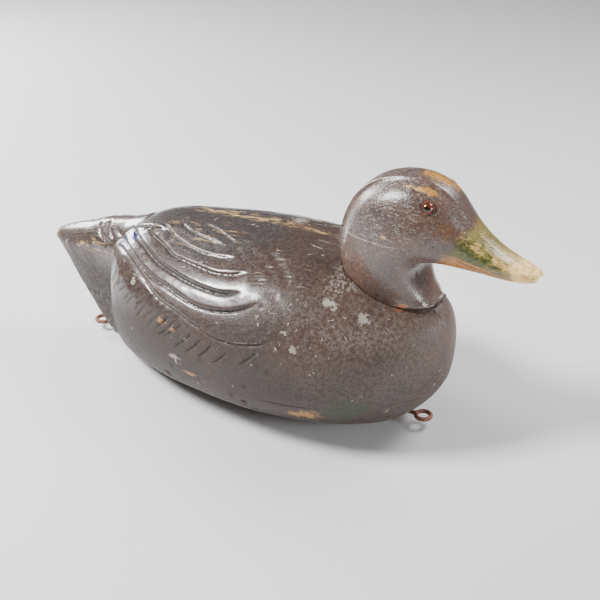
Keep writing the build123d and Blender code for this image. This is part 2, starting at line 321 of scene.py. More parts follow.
body = {
    "voxel": 1.13 * mm,
    "seamHeight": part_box("body_upper")[0].z,
    "axisHeight": 58 * mm,  # the degrees of the lines below are turned about this
    "waves": [(0.35 * mm, 34, 1), (0.10 * mm, 150, 2)],  # height, scale, seed
    "flatUpTo": 15 * mm,  # the bottom stays flat below this
    "wavesFadeIn": 10 * mm,
    # along mm, degrees from the top; depth, width, slope, lip in mm; wear 0 to 1
    "featherLines": [
        ([(-126, 30), (-89, 50), (-61, 64), (-38, 69), (-15, 74), (-1, 76), (17, 75), (34, 71), (44, 63)],
         0.8, 1.0, 0.9, 0.15, 0.7),
        ([(-132, 14), (-100, 40), (-74, 53), (-55, 57), (-37, 61), (-23, 63), (-5, 62), (12, 58), (26, 51)],
         1.1, 1.1, 2.0, 0.15, 0.3),
        ([(-116, 12), (-100, 28), (-73, 43), (-55, 48), (-41, 51), (-23, 53), (-7, 53), (11, 49)],
         1.6, 1.25, 2.4, 0.15, 0.1),
        ([(-98, 16), (-88, 24), (-69, 33), (-59, 38), (-39, 41), (-22, 43), (-8, 42), (8, 38)],
         0.9, 1.0, 1.5, 0.1, 0.8),
        ([(-85, 14), (-70, 23), (-50, 30), (-29, 33), (-8, 31)],
         0.8, 0.95, 1.1, 0.1, 0.9),
        ([(-56, 7), (-44, 10), (-30, 16), (-16, 22)], 0.8, 0.9, 0.4, 0.15, 0.8),
        ([(-72, 10), (-58, 18), (-40, 22), (-24, 25)], 0.6, 0.9, 0.4, 0.15, 0.8),
        ([(-150, 6), (-148, 11), (-143, 23), (-131, 31)], 0.9, 1.0, 0.7, 0.25, 0.5),
        ([(-142, 5), (-138, 12), (-133, 21), (-128, 27)], 0.7, 0.9, 0.5, 0.2, 0.45),
    ],
    "wingFront": [
        ([(2, 16), (13, 23), (24, 29), (33, 36), (38, 43)], 0.35, 2.6, 0.0, 0.1, 0.0),
        ([(24, 46), (36, 51), (43, 57), (46, 64), (43, 70)], 0.45, 2.6, 0.0, 0.1, 0.0),
    ],
    # start and end of each short knife stroke on the flank
    "flankStrokes": [
        ((-92, 57), (-103, 66)), ((-86, 58), (-100, 71)), ((-80, 60), (-92, 74)), ((-75, 61), (-90, 77)),
        ((-68, 63), (-80, 78)), ((-63, 63), (-78, 82)), ((-56, 66), (-71, 81)), ((-50, 67), (-66, 84)),
        ((-43, 70), (-58, 83)), ((-36, 70), (-55, 87)), ((-31, 73), (-52, 87)), ((-23, 77), (-41, 90)),
        ((-14, 78), (-30, 90)), ((-5, 79), (-19, 90)), ((8, 80), (-6, 90)), ((30, 76), (16, 86)),
        ((-99, 59), (-109, 72)), ((-106, 55), (-114, 68)), ((-47, 72), (-53, 80)), ((-72, 66), (-78, 73)),
    ],
    "flankCut": {"depth": 0.95 * mm, "width": 0.8 * mm, "wear": 0.6, "fade": 0.2},
    "flankBow": 0.8,  # mm that each stroke bends
    "neckStrokes": {
        "count": 40, "seed": 41, "along": (6, 52), "turn": (2, 50), "length": (12, 24),
        "depth": (0.25, 0.45), "width": 0.55 * mm, "wear": (0.4, 0.95), "fade": 0.3,
    },
    # knife grooves that fan over the top of the tail, from a point behind it
    "tailFan": {
        "from": -196 * mm, "before": -126 * mm, "fadeIn": 10 * mm, "pinch": 0.10, "facingUp": 0.25,
        "scale": 420, "wander": 2.4, "depth": 0.24 * mm,
    },
    # marks down the wedge under the tail, across the slope of the stern
    "wedge": {
        "before": -112 * mm, "fadeIn": 6 * mm, "above": 8 * mm, "facingSide": 0.5, "facingUp": 0.3,
        "slope": (72, 46), "scales": (420, 40), "depth": 0.22 * mm,
    },
    # count, seed, sizes, depth, low and high corner
    "nicks": [
        (70, 8, (1.6 * mm, 3.4 * mm), 0.5 * mm, (-0.15, -0.09, 0.02), (0.14, 0.09, 0.13)),
        (26, 9, (1.6 * mm, 3.6 * mm), 0.7 * mm, (-0.1, -0.09, 0.005), (0.13, 0.09, 0.035)),
    ],
    "nailReach": 1.2 * mm,
    "nailDepth": 0.8 * mm,
    "seamWidth": 0.9 * mm,
    "seamDepth": 0.28 * mm,
}


def carveFeathers(knife):
    for points, depth, width, slope, lip, wear in body["featherLines"] + body["wingFront"]:
        knife.line(knife.onWood(points), depth * mm, width * mm, slope * mm, lip * mm, wear)
    for start, end in body["flankStrokes"]:
        middle = ((start[0] + end[0]) / 2 + body["flankBow"], (start[1] + end[1]) / 2)
        knife.line(knife.onWood([start, middle, end]), **body["flankCut"])
    b = body["neckStrokes"]
    rng = random.Random(b["seed"])
    for _ in range(b["count"]):
        along = rng.uniform(*b["along"])
        turn = rng.uniform(*b["turn"])
        length = rng.uniform(*b["length"]) * (1 - turn / 90)
        points = [(along, turn), (along + length / 2, turn * 0.96 - 0.3), (along + length, turn * 0.94)]
        path = knife.onWood(points)
        depth = rng.uniform(*b["depth"]) * mm
        knife.line(path, depth, b["width"], fade=b["fade"], wear=rng.uniform(*b["wear"]))


def carveTail(knife):
    x, y, z = knife.place.T
    fan = body["tailFan"]
    spread = y / (fan["pinch"] + np.clip(x - fan["from"], 0, 1))
    top = smoothStep((fan["before"] - x) / fan["fadeIn"]) * (knife.normal[:, 2] > fan["facingUp"])
    ridges = 0.5 + 0.5 * np.sin(spread * fan["scale"] + fan["wander"] * knife.grain(70, 3))
    knife.lift -= fan["depth"] * ridges ** 3 * top
    # painted shade down in the tail's grooves
    knife.cut = np.maximum(knife.cut, 0.55 * ridges ** 4 * top)
    knife.worn = np.maximum(knife.worn, 0.25 * (1 - ridges) ** 3 * top)

    wedge = body["wedge"]
    down = (x * wedge["slope"][0] + z * wedge["slope"][1]) / math.hypot(*wedge["slope"])
    under = smoothStep((wedge["before"] - x) / wedge["fadeIn"]) * (z > wedge["above"])
    under = under * (knife.normal[:, 2] < wedge["facingUp"]) * (abs(knife.normal[:, 1]) > wedge["facingSide"])
    across, lengthwise = wedge["scales"]
    marks = np.array([noise.noise(Vector((d * across, s * lengthwise, 5.2))) for d, s in zip(down, z)])
    knife.lift += wedge["depth"] * marks * under


def carveBody():
    # the nails plug their own holes, so the skin closes over them and is cut back to their heads
    wood = copyOfNodes("decoyBody", "body_upper", "body_lower", "body_nails", "ballast_screws")
    evenSkin(wood, body["voxel"])
    print("body skin", len(wood.data.vertices), "points")
    knife = Carving(wood, body["axisHeight"])
    z = knife.place[:, 2]
    upper = smoothStep((z - body["flatUpTo"]) / body["wavesFadeIn"])
    for height, scale, seed in body["waves"]:
        knife.lift += height * knife.grain(scale, seed) * upper
    carveFeathers(knife)
    carveTail(knife)
    for nicks in body["nicks"]:
        knife.nicks(*nicks)
    knife.backFrom("body_nails", body["nailReach"], body["nailDepth"])

    # a faint line where the two halves of the block meet, open in places
    seam = np.exp(-((z - body["seamHeight"]) / body["seamWidth"]) ** 2)
    opened = smoothStep(knife.grain(26, 11) * 1.6 + 0.25)
    knife.lift -= body["seamDepth"] * seam * opened
    knife.cut = np.maximum(knife.cut, 0.35 * seam * opened)
    knife.finish()
    return wood


def cutAtSeam(wood, name, keepTop):
    pick(wood)
    bpy.ops.object.duplicate()
    half = bpy.context.object
    half.name = name
    bpy.ops.object.mode_set(mode="EDIT")
    bpy.ops.mesh.select_all(action="SELECT")
    bpy.ops.mesh.bisect(plane_co=(0, 0, body["seamHeight"]), plane_no=(0, 0, 1), use_fill=True,
                        clear_inner=keepTop, clear_outer=not keepTop)
    bpy.ops.object.mode_set(mode="OBJECT")
    return half


wholeBody = carveBody()
bodyTop = cutAtSeam(wholeBody, "bodyTop", True)
bodyBottom = cutAtSeam(wholeBody, "bodyBottom", False)
bpy.data.objects.remove(wholeBody)
for half, node in ((bodyTop, "body_upper"), (bodyBottom, "body_lower")):
    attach(half, "decoy")
    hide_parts(node)
print("body carved and cut at the seam")


# the head

head = {
    "voxel": 0.75 * mm,
    "axisHeight": 0.15,
    "seat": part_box("head")[0].z,
    "waves": [(0.22 * mm, 48, 21), (0.07 * mm, 210, 22)],  # height, scale, seed
    # the throat is rubbed smooth from above the seat to the chin, in front of a place: where, over how far
    "throatAbove": (1.5 * mm, 4 * mm),
    "throatFrom": (93 * mm, 8 * mm),
    "chin": (146 * mm, 9 * mm),
    "puttyReach": 4.5 * mm,
    "puttyAbove": 1.2 * mm,
    # along and height mm of the cut between the two halves of the bill
    "mouth": [(141, 148.5), (147, 144.8), (156, 142.2), (168, 139.6), (180, 137.4), (190, 136.2)],
    "mouthCut": {"depth": 0.75 * mm, "width": 0.9 * mm, "lip": 0.25 * mm, "fade": 0.1},
    "brokenFrom": 182 * mm,
    "brokenDepth": 3.0 * mm,
    "brokenFadeIn": 6 * mm,
    "chipScale": 260,
    "tears": [(190, 24, 1.0), (420, 25, 0.5)],  # scale, seed, share
    # the open joint under the neck, round the middle of the seat
    "crackHeight": 1.5 * mm,
    "crackDepth": 1.5 * mm,
    "crackOpening": 0.9 * mm,
    "seatMiddle": 95 * mm,
    "seatInner": 13 * mm,
    "lipHeight": 2.4 * mm,
    "nicks": (26, 30, (1.1 * mm, 2.4 * mm), 0.4 * mm, (0.05, -0.05, 0.11), (0.17, 0.05, 0.2)),
}


def throatAndNails(places):
    # the throat is rubbed smooth, and the neck nails are puttied over
    x, y, z = places.T
    height = z - head["seat"]
    weights = smoothStep((height - head["throatAbove"][0]) / head["throatAbove"][1])
    weights *= smoothStep((head["chin"][0] - z) / head["chin"][1])
    weights *= smoothStep((x - head["throatFrom"][0]) / head["throatFrom"][1])
    near, away = awayFromNode(places, "neck_nails", head["puttyReach"])
    weights[near[(height[near] > head["puttyAbove"]) & (away < head["puttyReach"])]] = 1
    return weights


def carveCrack(knife):
    x, y, z = knife.place.T
    height = z - head["seat"]
    outside = np.hypot(x - head["seatMiddle"], y) > head["seatInner"]
    uneven = 0.75 + 0.6 * knife.grain(60, 26)
    crack = smoothStep(1 - height / (head["crackHeight"] * uneven)) * outside
    knife.lift -= crack * head["crackDepth"] * (abs(knife.normal[:, 2]) < 0.8)
    knife.place[:, 2] += crack * head["crackOpening"] * uneven * (knife.normal[:, 2] < -0.3)
    knife.cut = np.maximum(knife.cut, crack)
    lip = np.exp(-((height - head["lipHeight"]) / (0.9 * mm)) ** 2) * outside
    knife.worn = np.maximum(knife.worn, 0.7 * lip * np.clip(0.5 + knife.grain(110, 27), 0, 1))


def carveHead():
    wood = copyOfNodes("decoyHead", "head", "neck_nails")
    evenSkin(wood, head["voxel"], throatAndNails)
    print("head skin", len(wood.data.vertices), "points")
    knife = Carving(wood, head["axisHeight"])
    x = knife.place[:, 0]
    for height, scale, seed in head["waves"]:
        knife.lift += height * knife.grain(scale, seed)

    # the mouth cut, on both sides of the bill
    hits = [knife.surface.ray_cast(Vector((along * mm, -0.06, height * mm)), Vector((0, 1, 0)))[0]
            for along, height in head["mouth"]]
    mouth = knife.evened([spot for spot in hits if spot], stroke["fineSpacing"])
    knife.line(mouth, **head["mouthCut"])

    # the broken tip: chips and a torn edge of bare wood
    broken = smoothStep((x - head["brokenFrom"]) / head["brokenFadeIn"])
    chips = np.array([noise.cell(Vector(p * head["chipScale"] + 3.3)) for p in knife.place])
    tear = sum(share * knife.grain(scale, seed) for scale, seed, share in head["tears"])
    knife.lift -= broken * head["brokenDepth"] * (0.25 + 0.55 * tear + 0.35 * chips)
    # painted shade in the deepest torn hollows
    knife.cut = np.maximum(knife.cut, broken * np.clip(tear - 0.25, 0, 1))

    carveCrack(knife)
    knife.nicks(*head["nicks"])
    knife.finish()
    return wood


decoyHead = carveHead()
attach(decoyHead, "decoy")
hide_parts("head", "neck_nails")
print("head carved")


# materials

class Value:
    # one socket of a material; sums written with it become Math nodes
    def __init__(self, paint, socket):
        self.paint = paint
        self.socket = socket

    def math(self, operation, first, second):
        return self.paint.node("ShaderNodeMath", {"operation": operation}, {0: first, 1: second})

    def __add__(self, other):
        return self.math("ADD", self, other)

    def __radd__(self, other):
        return self.math("ADD", other, self)

    def __sub__(self, other):
        return self.math("SUBTRACT", self, other)

    def __rsub__(self, other):
        return self.math("SUBTRACT", other, self)

    def __mul__(self, other):
        return self.math("MULTIPLY", self, other)

    def __rmul__(self, other):
        return self.math("MULTIPLY", other, self)

    def __truediv__(self, other):
        return self.math("DIVIDE", self, other)

    def rise(self, low, high):
        # 0 below low, 1 above high, smooth between
        links = {0: self, 1: low, 2: high, 3: 0.0, 4: 1.0}
        return self.paint.node("ShaderNodeMapRange", {"interpolation_type": "SMOOTHSTEP"}, links)


class Paint:
    # one material and the nodes in it
    def __init__(self, name, **constants):
        self.material = bpy.data.materials.new(name)
        self.material.use_nodes = True
        self.tree = self.material.node_tree
        self.tree.nodes.clear()
        self.shader = self.tree.nodes.new("ShaderNodeBsdfPrincipled")
        end = self.tree.nodes.new("ShaderNodeOutputMaterial")
        self.tree.links.new(self.shader.outputs[0], end.inputs[0])
        for socket, value in constants.items():
            self.shader.inputs[socket.replace("_", " ")].default_value = value
        self.place = self.node("ShaderNodeTexCoord", out="Object")
        self.x = self.node("ShaderNodeSeparateXYZ", links={0: self.place}, out=0)
        self.y = self.node("ShaderNodeSeparateXYZ", links={0: self.place}, out=1)
        self.z = self.node("ShaderNodeSeparateXYZ", links={0: self.place}, out=2)

    def node(self, kind, settings=None, links=None, out=0):
        made = self.tree.nodes.new(kind)
        for name, value in (settings or {}).items():
            setattr(made, name, value)
        for name, value in (links or {}).items():
            self.feed(made.inputs[name], value)
        return Value(self, made.outputs[out])

    def feed(self, socket, value):
        if isinstance(value, Value):
            self.tree.links.new(value.socket, socket)
        elif isinstance(value, tuple) and socket.type == "RGBA":
            socket.default_value = (*value, 1)
        else:
            socket.default_value = value

    def noise(self, scale, detail=3.0, rough=0.55, bend=0.0, at=None):
        links = {"Vector": at or self.place, "Scale": scale, "Detail": detail, "Roughness": rough}
        return self.node("ShaderNodeTexNoise", None, {**links, "Distortion": bend})

    def mix(self, factor, first, second):
        return self.node("ShaderNodeMix", {"data_type": "RGBA"}, {0: factor, 6: first, 7: second}, 2)

    def stretched(self, scale, turn=(0, 0, 0)):
        return self.node("ShaderNodeMapping", None, {"Vector": self.place, "Scale": scale, "Rotation": turn})

    def attribute(self, name):
        return self.node("ShaderNodeAttribute", {"attribute_name": name}, None, "Fac")

    def vector(self, operation, first, second):
        return self.node("ShaderNodeVectorMath", {"operation": operation}, {0: first, 1: second})

    def length(self, vector):
        return self.node("ShaderNodeVectorMath", {"operation": "LENGTH"}, {0: vector}, "Value")

    def patch(self, middle, size, edge=0.35, wobble=0.5, grain=110):
        # 1 inside an uneven patch round middle, 0 outside; size is its half lengths
        away = self.length(self.vector("DIVIDE", self.vector("SUBTRACT", self.place, middle), size))
        uneven = away + (self.noise(grain, 5.0, 0.72, 0.5) - 0.5) * (2 * wobble)
        return 1 - uneven.rise(1 - edge, 1 + edge)

    def chip(self, middle, size, grain=330):
        # a flake with a torn edge and small islands round it
        return self.patch(middle, size, 0.10, 2.6, grain)

    def finish(self, colour, roughness, bumps):
        # bumps: (height value, strength, distance in metres), the broadest first
        self.feed(self.shader.inputs["Base Color"], colour)
        self.feed(self.shader.inputs["Roughness"], roughness)
        normal = None
        for height, strength, distance in bumps:
            links = {"Height": height, "Strength": strength, "Distance": distance}
            if normal:
                links["Normal"] = normal
            normal = self.node("ShaderNodeBump", None, links)
        if normal:
            self.feed(self.shader.inputs["Normal"], normal)
        return self.material


def leather(p, scale, pull):
    # the dried paint's fine wrinkles: cell edges pulled about by noise, in metres
    links = {"Vector": p.place, "Scale": scale * 0.7, "Detail": 2.0}
    swirl = p.node("ShaderNodeTexNoise", None, links, "Color")
    shift = p.node("ShaderNodeVectorMath", {"operation": "SCALE"}, {0: swirl, "Scale": pull})
    links = {"Vector": p.vector("ADD", p.place, shift), "Scale": scale}
    cells = p.node("ShaderNodeTexVoronoi", {"feature": "DISTANCE_TO_EDGE"}, links, "Distance")
    return cells.rise(0.0, 0.22)


bodyPaint = {
    "umber": (0.052, 0.0255, 0.0175),
    "grey": (0.044, 0.0265, 0.0215),
    "brown": (0.100, 0.0570, 0.0410),
    # near-black used both for grime and for painted shade
    "sootAndShade": (0.014, 0.0095, 0.0080),
    "slate": (0.030, 0.027, 0.030),
    "cream": (0.72, 0.46, 0.19),
    "ochre": (0.38, 0.20, 0.060),
    "pale": (0.46, 0.41, 0.35),
    "violet": (0.020, 0.016, 0.16),
    "green": (0.020, 0.055, 0.018),
    "rust": (0.34, 0.085, 0.018),
    "olive": (0.026, 0.0185, 0.0115),
    # uneven patches: middle, half lengths, softness of the edge, wobble, grain
    "rearFlank": ((-0.075, 0.0, 0.040), (0.070, 0.110, 0.040), 0.5, 0.3, 30),
    "innerWing": ((-0.050, 0, 0.128), (0.058, 0.052, 0.030), 0.25, 0.2, 60),
    "shoulderDryAndSheen": ((0.094, -0.050, 0.090), (0.028, 0.024, 0.0075), 0.7, 0.7, 60),
    "backRidge": ((-0.034, 0.017, 0.123), (0.050, 0.0055, 0.012), 0.6, 1.2, 90),
    "wingTop": ((-0.052, -0.020, 0.121), (0.036, 0.015, 0.014), 0.6, 0.9, 90),
    "tailRim": ((-0.164, -0.019, 0.086), (0.034, 0.0035, 0.008), 0.6, 1.0, 160),
    "tailEnd": ((-0.1965, 0.0, 0.080), (0.0045, 0.007, 0.006), 0.6, 0.8, 180),
    "wingFront": ((0.046, -0.058, 0.098), (0.034, 0.024, 0.022), 0.5, 0.5, 40),
    "wingFrontLeft": ((0.040, 0.060, 0.096), (0.034, 0.024, 0.022), 0.5, 0.5, 40),
    "neckBase": ((0.066, -0.020, 0.114), (0.010, 0.018, 0.005), 0.6, 1.0, 220),
    "satin": ((-0.070, 0.0, 0.115), (0.130, 0.085, 0.055), 0.25, 0.1, 30),
    # flakes: middle, half lengths, colour, strength
    "chips": [
        ((-0.110, -0.0245, 0.106), (0.0080, 0.0065, 0.010), "violet", 1.0),
        ((0.088, -0.060, 0.036), (0.015, 0.012, 0.009), "green", 0.5),
        ((-0.052, -0.0721, 0.0745), (0.0027, 0.003, 0.0024), "ochre", 1.0),
        ((-0.041, -0.0746, 0.0716), (0.0022, 0.003, 0.0018), "ochre", 1.0),
        ((-0.028, -0.0748, 0.0402), (0.0042, 0.004, 0.0016), "ochre", 1.0),
        ((0.060, -0.067, 0.029), (0.009, 0.007, 0.0045), "ochre", 1.0),
        ((-0.086, -0.0563, 0.0906), (0.002, 0.003, 0.003), "pale", 0.6),
        ((-0.0406, -0.075, 0.0505), (0.004, 0.004, 0.0022), "pale", 0.6),
        ((0.067, -0.046, 0.109), (0.0042, 0.0034, 0.0032), "pale", 0.8),
        ((0.090, -0.041, 0.101), (0.004, 0.0035, 0.004), "pale", 0.6),
        ((0.005, 0.028, 0.123), (0.005, 0.005, 0.006), "pale", 0.6),
        ((0.012, 0.076, 0.060), (0.009, 0.006, 0.005), "ochre", 0.9),
        ((-0.080, 0.058, 0.088), (0.006, 0.005, 0.004), "ochre", 0.9),
        ((0.095, 0.052, 0.070), (0.010, 0.008, 0.007), "pale", 0.7),
        ((0.108, -0.023, 0.1032), (0.004, 0.003, 0.0010), "rust", 0.35),
    ],
}


def bodyGround(p, wrinkles, blotch, broad, fine, speck):
    # the dull brown ground, how dry and chalky it is, a band of painted sheen on the shoulder, and a darker
    # lower rear
    c = bodyPaint
    colour = p.mix(broad.rise(0.35, 0.65), c["umber"], c["grey"])
    front = p.x.rise(0.02, 0.07) * p.z.rise(0.045, 0.075)
    colour = p.mix(front * 0.75, colour, c["brown"])
    # darker over the lower rear of the body, with broad darker clouds over the rest
    shade = p.noise(9, 2.0, 0.5)
    darker = p.patch(*c["rearFlank"])
    colour = p.mix(shade.rise(0.45, 0.7) * 0.25 + darker * 0.55, colour, c["sootAndShade"])
    colour = p.mix(blotch.rise(0.40, 0.80) * 0.35, colour, c["sootAndShade"])
    colour = p.mix((1 - wrinkles) * 0.14, colour, c["sootAndShade"])
    colour = p.mix(p.patch(*c["innerWing"]) * 0.65, colour, c["slate"])
    breast = p.x.rise(0.03, 0.075)
    dry = (speck * fine.rise(0.30, 0.62)).rise(0.28, 0.42)
    colour = p.mix(dry * (0.04 + 0.05 * breast), colour, c["pale"])
    # a pale speckled band round the shoulder: partly dry paint, partly painted sheen
    colour = p.mix(p.patch(*c["shoulderDryAndSheen"]) * fine.rise(0.30, 0.70) * 0.16, colour, c["pale"])
    return colour, dry


def bodyRubbed(p, colour, blotch, fine):
    # rubbed cream on the lips of the inner feather lines, on the back and on the tail's rim
    c = bodyPaint
    streaks = p.noise(1.0, 5.0, 0.72, 0.6, p.stretched((70, 330, 330)))
    rubbed = (p.attribute("worn") * (blotch * 0.9 + fine * 0.8)).rise(0.46, 0.72)
    colour = p.mix(rubbed * 0.85, colour, p.mix(fine.rise(0.4, 0.6), c["cream"], c["pale"]))
    for name, low, high, strength in (
            ("backRidge", 0.48, 0.58, 0.9), ("wingTop", 0.57, 0.64, 0.8), ("tailRim", 0.52, 0.62, 0.8)):
        colour = p.mix(p.patch(*c[name]) * streaks.rise(low, high) * strength, colour, c["cream"])
    return p.mix(p.patch(*c["tailEnd"]) * 0.7, colour, c["cream"]), rubbed


def bodyFlecks(p, colour, fine):
    # white flecks thrown about in front of the wing, a few elsewhere, and the bigger chips
    c = bodyPaint
    flecks = p.noise(230, 2.0, 0.5, 0.8)
    wingFront = p.patch(*c["wingFront"])
    thrown = (flecks + wingFront * 0.075 + p.patch(*c["wingFrontLeft"]) * 0.06).rise(0.715, 0.735)
    colour = p.mix(thrown * 0.7, colour, c["pale"])
    pocked = wingFront * p.noise(520, 4.0, 0.75, 0.8).rise(0.50, 0.60)
    colour = p.mix(pocked * 0.55, colour, c["sootAndShade"])
    crust = wingFront * p.noise(420, 4.0, 0.75, 1.0).rise(0.61, 0.67)
    colour = p.mix(crust * 0.5, colour, c["pale"])
    colour = p.mix(p.patch(*c["neckBase"]) * fine.rise(0.48, 0.58) * 0.6, colour, c["pale"])
    for middle, size, name, strength in c["chips"]:
        colour = p.mix(p.chip(middle, size) * strength, colour, c[name])
    return colour, thrown


def paintedBody():
    c = bodyPaint
    p = Paint("paintedBody", Specular_IOR_Level=0.55, Coat_Roughness=0.16)
    broad = p.noise(16, 3.0, 0.6)
    blotch = p.noise(62, 5.0, 0.65, 0.3)
    fine = p.noise(420, 4.0, 0.7)
    speck = p.noise(900, 3.0, 0.75)
    cut = p.attribute("cut")
    wrinkles = leather(p, 430, 0.0026)
    colour, dry = bodyGround(p, wrinkles, blotch, broad, fine, speck)
    colour, rubbed = bodyRubbed(p, colour, blotch, fine)
    colour, thrown = bodyFlecks(p, colour, fine)

    lower = 1 - (p.z + broad * 0.02).rise(0.018, 0.034)
    colour = p.mix(lower * fine.rise(0.42, 0.62) * 0.5, colour, c["pale"])
    # painted shade in the cuts, grooves and pits, and the dark seam line
    colour = p.mix(cut.rise(0.12, 0.85) * 0.85, colour, c["sootAndShade"])
    # painted shade: the wedge under the tail's overhang is painted dark olive-brown, with pale scratches over
    # it
    wedge = (0 - p.x).rise(0.118, 0.128) * (1 - p.z.rise(0.066, 0.082))
    scratches = p.noise(1.0, 4.0, 0.7, 0.0, p.stretched((900, 60, 240), (0, 0.57, 0)))
    colour = p.mix(wedge * 0.60, colour, c["olive"])
    colour = p.mix(wedge * scratches.rise(0.53, 0.64) * 0.25, colour, c["pale"])

    # the handled back is polished, the rest is dull
    satin = p.patch(*c["satin"])
    p.feed(p.shader.inputs["Coat Weight"], satin * (1 - blotch.rise(0.5, 0.8) * 0.5) * (1 - rubbed))
    dull = broad * 0.06 + (1 - wrinkles) * 0.08 + dry * 0.12 + cut * 0.30 + rubbed * 0.25
    roughness = 0.42 - satin * 0.20 + dull
    rough = 1 - satin * 0.80
    hairline = p.noise(1.0, 4.0, 0.7, 0.3, p.stretched((90, 620, 620), (0, 0, 0.15)))
    bumps = [
        (blotch, 0.30, 0.0010),
        (wrinkles * rough, 0.26, 0.00034),
        (fine * rough * 0.7 + hairline * satin * 0.6, 0.26, 0.00028),
        (scratches * wedge + thrown * 0.4, 0.35, 0.0004),
    ]
    return p.finish(colour, roughness, bumps)


headPaint = {
    "umber": (0.125, 0.0660, 0.0440),
    "blueGrey": (0.096, 0.066, 0.060),
    # near-black used both for grime and for painted shade
    "sootAndShade": (0.014, 0.0095, 0.0080),
    "ochre": (0.44, 0.205, 0.030),
    "cream": (0.72, 0.46, 0.18),
    "pale": (0.46, 0.42, 0.38),
    "brown": (0.24, 0.085, 0.026),
    "olive": (0.150, 0.140, 0.024),
    "green": (0.034, 0.050, 0.014),
    "lime": (0.36, 0.30, 0.055),
    "brownTop": (0.30, 0.17, 0.045),
    "orange": (0.50, 0.185, 0.032),
    "bare": (0.98, 0.68, 0.24),
    # uneven patches: middle, half lengths, softness of the edge, wobble, grain
    "brow": ((0.141, 0.0, 0.178), (0.014, 0.020, 0.012), 0.5, 0.5, 70),
    "napeSheen": ((0.078, -0.015, 0.176), (0.018, 0.020, 0.018), 0.6, 0.4, 60),
    "whiskers": ((0.098, 0.0, 0.170), (0.034, 0.060, 0.026), 0.6, 0.5, 60),
    "throat": ((0.118, 0.0, 0.128), (0.016, 0.026, 0.012), 0.7, 0.3, 60),
    # worn spots: middle, half lengths, colour, strength
    "spots": [
        ((0.121, 0.003, 0.192), (0.0105, 0.0062, 0.006), "ochre", 1.0),
        ((0.131, 0.007, 0.187), (0.0055, 0.005, 0.005), "ochre", 0.9),
        ((0.112, -0.0145, 0.190), (0.0075, 0.0016, 0.004), "cream", 0.7),
        ((0.121, -0.0125, 0.189), (0.0055, 0.0018, 0.004), "ochre", 0.9),
        ((0.137, -0.0185, 0.1675), (0.0065, 0.005, 0.0055), "brown", 0.30),
        ((0.097, -0.0303, 0.158), (0.0022, 0.003, 0.0010), "cream", 0.8),
        ((0.068, -0.022, 0.170), (0.004, 0.009, 0.004), "brown", 0.45),
        ((0.112, 0.016, 0.189), (0.009, 0.004, 0.004), "cream", 0.8),
        ((0.100, 0.030, 0.165), (0.006, 0.004, 0.005), "brown", 0.7),
        ((0.1090, -0.0222, 0.1064), (0.0035, 0.004, 0.0013), "orange", 0.6),
    ],
    "spotShape": (0.16, 2.3, 260),  # edge, wobble, grain
    "scratchHeight": 0.1512,
    "scratchFrom": 0.069,
    "scratchSlope": 0.045,
    "billRoot": 0.1395,  # along, where the lower edge of the bill begins
    "billLow": 0.1496,  # height of that edge, and its fall
    "billFall": 0.29,
    "billHigh": 0.1675,  # height of the upper edge at 0.150, its fall and its bend
    "billTopFrom": 0.150,
    "billTopFall": 0.92,
    "billTopBend": 9.5,
    "bareFrom": (0.1765, 0.1815),
}


def billFinish(p, blotch, fine):
    # olive sides, a cream streak, a brown-yellow top, an orange lower edge and a bare tip; where the
    # bill is, where it is bare, and the streaks along it
    c = headPaint
    low = c["billLow"] - (p.x - c["billRoot"]) * c["billFall"]
    far = p.x - c["billTopFrom"]
    high = c["billHigh"] - far * c["billTopFall"] + far * far * c["billTopBend"]
    up = (p.z - low) / (high - low)
    bill = (p.x - (p.z - 0.1534) * 0.6 + (blotch - 0.5) * 0.020).rise(0.1340, 0.1450)
    bill = bill * p.z.rise(0.131, 0.133)
    streaky = p.noise(1.0, 5.0, 0.75, 0.7, p.stretched((120, 420, 420), (0, 0.45, 0)))
    uneven = up + (blotch - 0.5) * 0.5 + (streaky - 0.5) * 0.5
    colour = p.mix(streaky.rise(0.40, 0.62), c["green"], c["olive"])
    colour = p.mix(uneven.rise(0.34, 0.70) * 0.50, colour, c["lime"])
    mottle = p.noise(150, 4.0, 0.7, 0.6).rise(0.50, 0.58)
    colour = p.mix(mottle * 0.65, colour, c["green"])
    streak = (1 - ((uneven - 0.66) * (uneven - 0.66) * 50).rise(0.2, 1.2)) * streaky.rise(0.44, 0.54)
    colour = p.mix(streak * 0.85, colour, c["cream"])
    colour = p.mix(uneven.rise(0.84, 1.0) * 0.75, colour, c["brownTop"])
    lowEdge = 1 - (up + (blotch - 0.5) * 0.12).rise(0.0, 0.07)
    colour = p.mix(lowEdge * 0.9, colour, p.mix(fine.rise(0.52, 0.68), c["orange"], c["cream"]))
    toTip = (p.x - 0.150) / 0.030 + (streaky - 0.5) * 1.6
    colour = p.mix(toTip.rise(0.35, 1.05) * 0.55, colour, c["cream"])
    bare = (p.x + (blotch - 0.5) * 0.020 + (streaky - 0.5) * 0.014).rise(*c["bareFrom"])
    bareColour = p.mix(streaky.rise(0.45, 0.7), c["bare"], c["cream"])
    bareColour = p.mix(blotch.rise(0.60, 0.68) * 0.5, bareColour, c["ochre"])
    bareColour = p.mix(p.noise(560, 2.0, 0.5, 0.6).rise(0.66, 0.70) * 0.9, bareColour, c["brown"])
    return p.mix(bare, colour, bareColour), bill, bare, streaky


